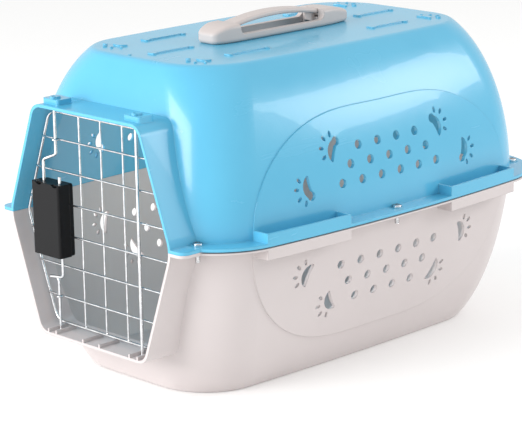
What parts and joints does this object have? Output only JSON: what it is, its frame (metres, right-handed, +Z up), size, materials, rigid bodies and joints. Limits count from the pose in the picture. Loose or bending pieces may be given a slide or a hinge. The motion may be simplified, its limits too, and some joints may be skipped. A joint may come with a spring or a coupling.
{
  "type": "pet transport carrier",
  "caption": "Two-part moulded pet carrier with vented sides, a wire grille door with a sprung rod latch, and a low carrying handle on its roof.",
  "frame": {"origin": "on the ground, under the middle of the whole object's box", "axes": "+X to the right of someone facing the door, +Y from the door to the back, +Z up"},
  "size_m": [0.334, 0.48, 0.3255],
  "materials": {
    "upper_shell_plastic": "moulded polypropylene, soft gloss, sky blue",
    "lower_shell_plastic": "moulded polypropylene, soft gloss, warm off-white",
    "handle_plastic": "moulded plastic, satin, warm grey",
    "door_wire": "bright zinc-plated steel wire",
    "spring_steel": "drawn spring wire",
    "screw_metal": "bright plated steel",
    "latch_plastic": "moulded plastic, satin, black"
  },
  "bodies": {
    "shell": {"upper_shell": "upper_shell_plastic", "lower_shell": "lower_shell_plastic", "flange_screws": "screw_metal", "flange_nuts": "screw_metal", "handle_base": "handle_plastic", "handle_screws": "screw_metal"},
    "grip": {"handle_grip": "handle_plastic"},
    "door": {"door_frame_wire": "door_wire", "hinge_rod": "door_wire", "crossbar_1": "door_wire", "crossbar_2": "door_wire", "crossbar_3": "door_wire", "crossbar_4": "door_wire", "crossbar_5": "door_wire", "crossbar_6": "door_wire", "upright_1": "door_wire", "upright_2": "door_wire", "upright_3": "door_wire", "rod_guide_upper": "door_wire", "rod_guide_lower": "door_wire", "latch_housing": "latch_plastic", "latch_backplate": "latch_plastic", "latch_plate_screws": "screw_metal"},
    "latch_upper": {"latch_rod_upper": "door_wire", "rod_stop_upper": "door_wire", "latch_spring_upper": "spring_steel"},
    "latch_lower": {"latch_rod_lower": "door_wire", "rod_stop_lower": "door_wire", "latch_spring_lower": "spring_steel"}
  },
  "joints": [
    {"name": "door_swing", "type": "hinge", "parent": "shell", "child": "door", "pos_m": [0.057, -0.2287, 0.15], "axis": [0, 0, 1], "range_deg": [0, 120]},
    {"name": "upper_latch_slide", "type": "slide", "parent": "door", "child": "latch_upper", "axis": [0, 0, -1], "range_m": [0, 0.012], "stiffness_N_per_m": 250, "springref_m": -0.006, "deforming": ["latch_spring_upper"]},
    {"name": "lower_latch_slide", "type": "slide", "parent": "door", "child": "latch_lower", "axis": [0, 0, 1], "range_m": [0, 0.012], "stiffness_N_per_m": 250, "springref_m": -0.006, "deforming": ["latch_spring_lower"]},
    {"name": "grip_lift", "type": "slide", "parent": "shell", "child": "grip", "axis": [0, 0, 1], "range_m": [0, 0.004]}
  ]
}
